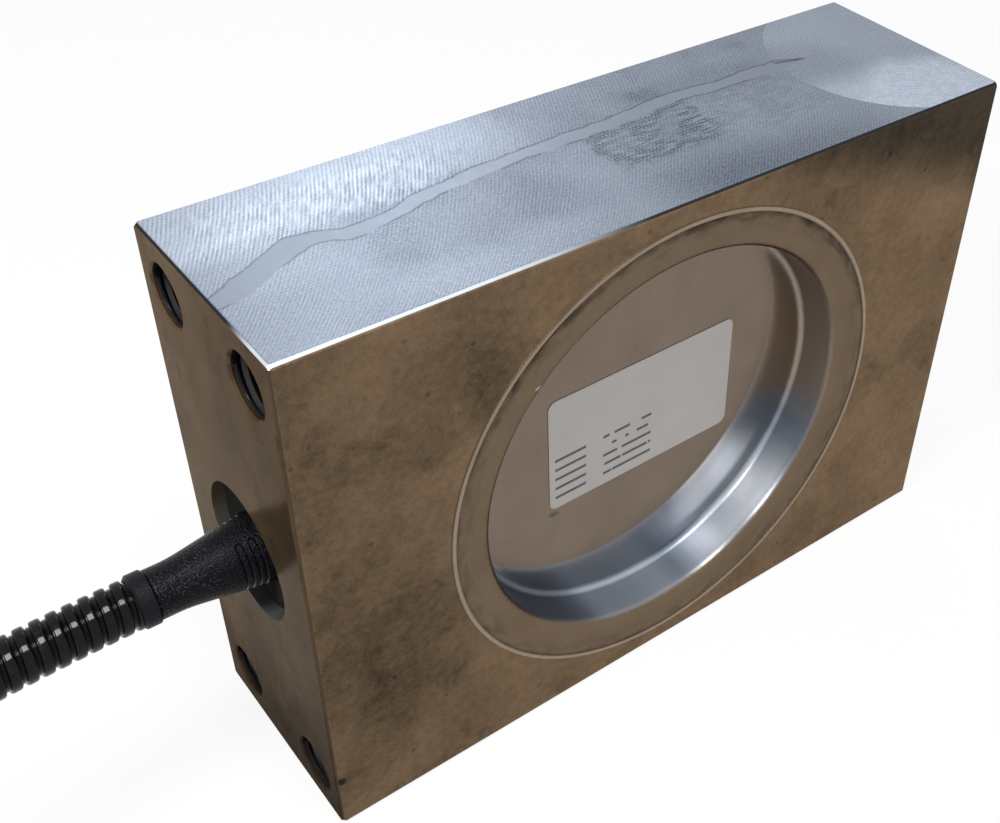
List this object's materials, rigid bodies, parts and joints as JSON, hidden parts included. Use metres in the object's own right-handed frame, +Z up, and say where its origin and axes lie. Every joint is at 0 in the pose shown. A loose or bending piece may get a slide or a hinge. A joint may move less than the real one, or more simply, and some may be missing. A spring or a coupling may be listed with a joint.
{
  "type": "single point load cell",
  "caption": "Block load cell with welded cup covers, tapped end faces and an armoured spiral hose that ends in a plug.",
  "frame": {"origin": "middle of the block's underside", "axes": "+X along the block, away from the end where the hose leaves; +Y through its thickness, away from the labelled cover; +Z up"},
  "size_m": [0.3851, 0.1285, 0.12],
  "materials": {
    "body_steel": "satin ground faces, milled top and bottom",
    "cover_steel": "glossy drawn sheet, heat-tinted rim",
    "weld_steel": "bright tan seam",
    "label_foil": "satin, blank",
    "beam_steel": "milled",
    "screw_steel": "satin",
    "gauge_film": "satin film",
    "board_laminate": "satin",
    "post_brass": "turned",
    "chip_black": "matte",
    "wire_jacket": "satin",
    "gland_black": "satin",
    "seal_rubber": "matte",
    "core_jacket": "matte",
    "boot_rubber": "fine-grained matte",
    "collar_black": "satin",
    "hose_black": "glossy",
    "plug_black": "satin",
    "plug_nickel": "nickel-plated",
    "insert_black": "satin",
    "pin_gold": "plated"
  },
  "bodies": {
    "root": {"load_cell_body": "body_steel", "front_cover_cup": "cover_steel", "rear_cover_cup": "cover_steel", "front_weld_bead": "weld_steel", "rear_weld_bead": "weld_steel", "type_label": "label_foil", "sensing_beam": "beam_steel", "beam_screws": "screw_steel", "strain_gauges": "gauge_film", "bridge_board": "board_laminate", "board_posts": "post_brass", "board_screws": "screw_steel", "board_chip": "chip_black", "signal_wires": "wire_jacket", "gland_body": "gland_black", "gland_ring": "seal_rubber", "cable_seal": "seal_rubber", "cable_core": "core_jacket", "strain_relief_boot": "boot_rubber", "hose_collar": "collar_black", "cable_hose": "hose_black", "hose_coil": "hose_black", "plug_collar": "collar_black", "plug_boot": "boot_rubber", "plug_body": "plug_black", "plug_shell": "plug_nickel", "plug_ring": "seal_rubber", "plug_insert": "insert_black", "plug_pins": "pin_gold"}
  },
  "joints": []
}
